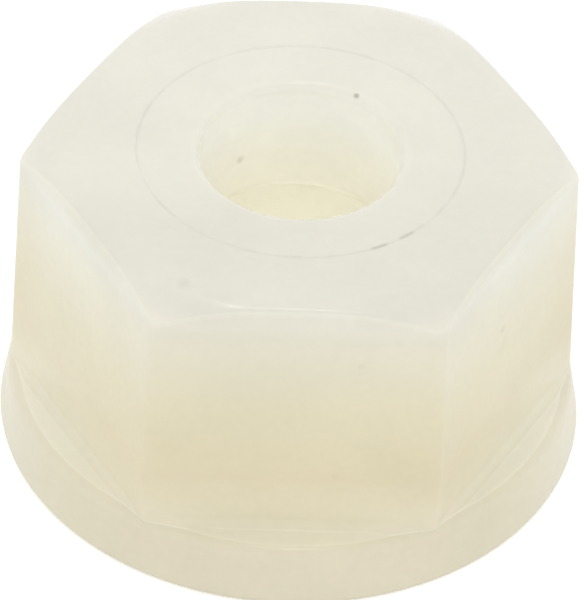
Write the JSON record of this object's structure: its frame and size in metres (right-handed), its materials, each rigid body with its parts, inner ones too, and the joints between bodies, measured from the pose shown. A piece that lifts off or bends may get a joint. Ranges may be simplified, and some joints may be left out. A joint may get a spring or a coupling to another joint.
{
  "type": "nylon insert lock nut",
  "caption": "Hexagonal lock nut in natural nylon, with a crowned top, a low round collar at its bearing face and a pressed-in nylon ring that grips the screw.",
  "frame": {"origin": "centre of the bearing face, on the screw's axis", "axes": "+Z along the screw's axis, from the bearing face to the crowned top; one flat of the hexagon faces -Y"},
  "size_m": [0.0132, 0.0132, 0.0076],
  "materials": {
    "body_nylon": "natural nylon as moulded, satin and slightly translucent",
    "insert_nylon": "natural nylon as moulded, satin and slightly translucent"
  },
  "bodies": {
    "root": {"nut_body": "body_nylon", "locking_insert": "insert_nylon"}
  },
  "joints": []
}
